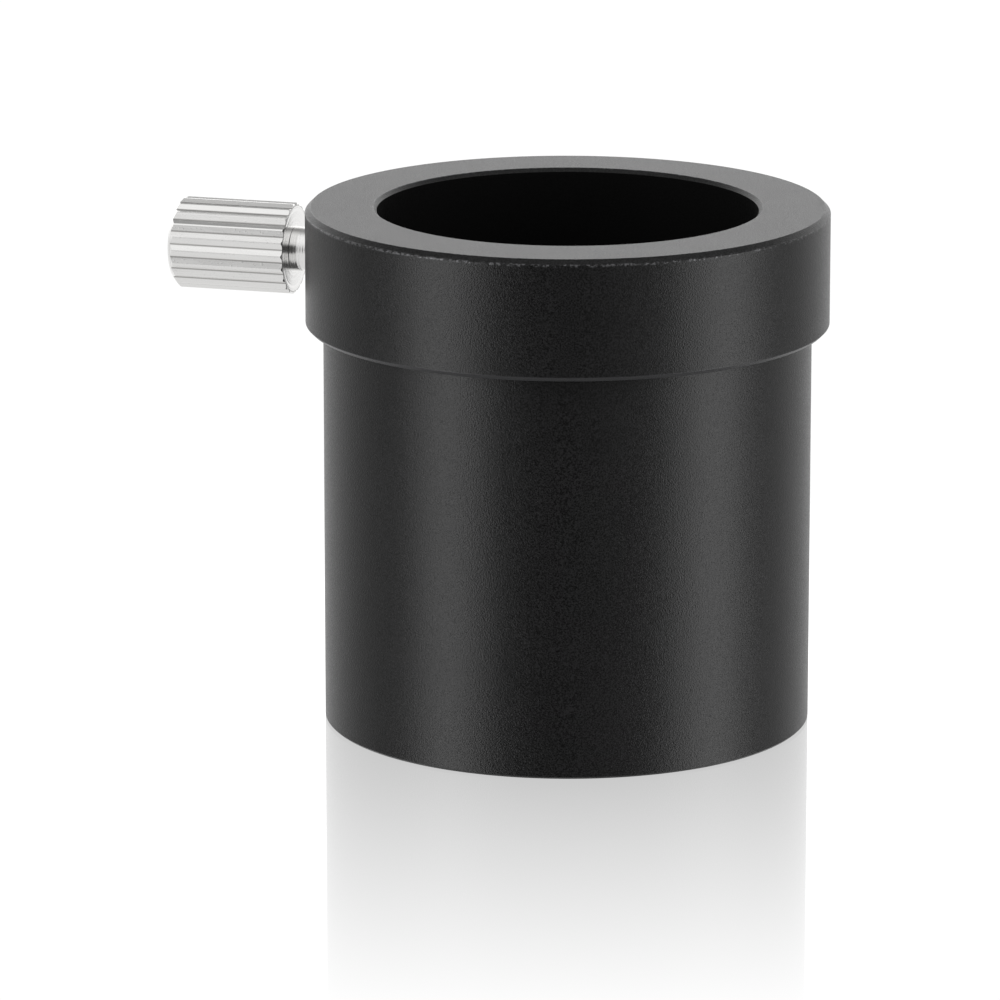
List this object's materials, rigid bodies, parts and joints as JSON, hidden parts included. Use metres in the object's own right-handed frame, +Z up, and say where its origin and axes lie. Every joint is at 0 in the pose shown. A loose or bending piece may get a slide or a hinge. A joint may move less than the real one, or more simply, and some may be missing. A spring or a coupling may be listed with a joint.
{
  "type": "telescope eyepiece adapter",
  "caption": "Collared tube that seats a slim eyepiece barrel in a wider focuser, with a fluted thumbscrew tapped radially through the collar to clamp the eyepiece.",
  "frame": {"origin": "on the eyepiece socket's axis, in the plane of the barrel's lower end, which the part stands on", "axes": "+Z up the socket towards the mouth the eyepiece goes in by; -X is the side of the thumbscrew, which points 15.5 degrees from -X towards +Y"},
  "size_m": [0.0432, 0.034, 0.034],
  "materials": {
    "black_anodised_aluminium": "fine bead-blasted, black anodised, satin",
    "nickel_plated_brass": "bright nickel plate over a turned and straight-knurled surface"
  },
  "bodies": {
    "adapter": {"adapter_body": "black_anodised_aluminium"},
    "screw_travel": {"thumbscrew_tip": "nickel_plated_brass"},
    "screw": {"thumbscrew": "nickel_plated_brass"}
  },
  "joints": [
    {"name": "thumbscrew_travel", "type": "slide", "parent": "adapter", "child": "screw_travel", "axis": [-0.9636, 0.2672, 0], "range_m": [-0.0014, 0.00245]},
    {"name": "thumbscrew_turn", "type": "hinge", "parent": "screw_travel", "child": "screw", "pos_m": [-0.02226, 0.00617, 0.0301], "axis": [-0.9636, 0.2672, 0], "range_deg": [-720, 1260]}
  ],
  "couplings": [
    {"joint": "thumbscrew_turn", "follows": "thumbscrew_travel", "rad_per_m": 8976}
  ]
}
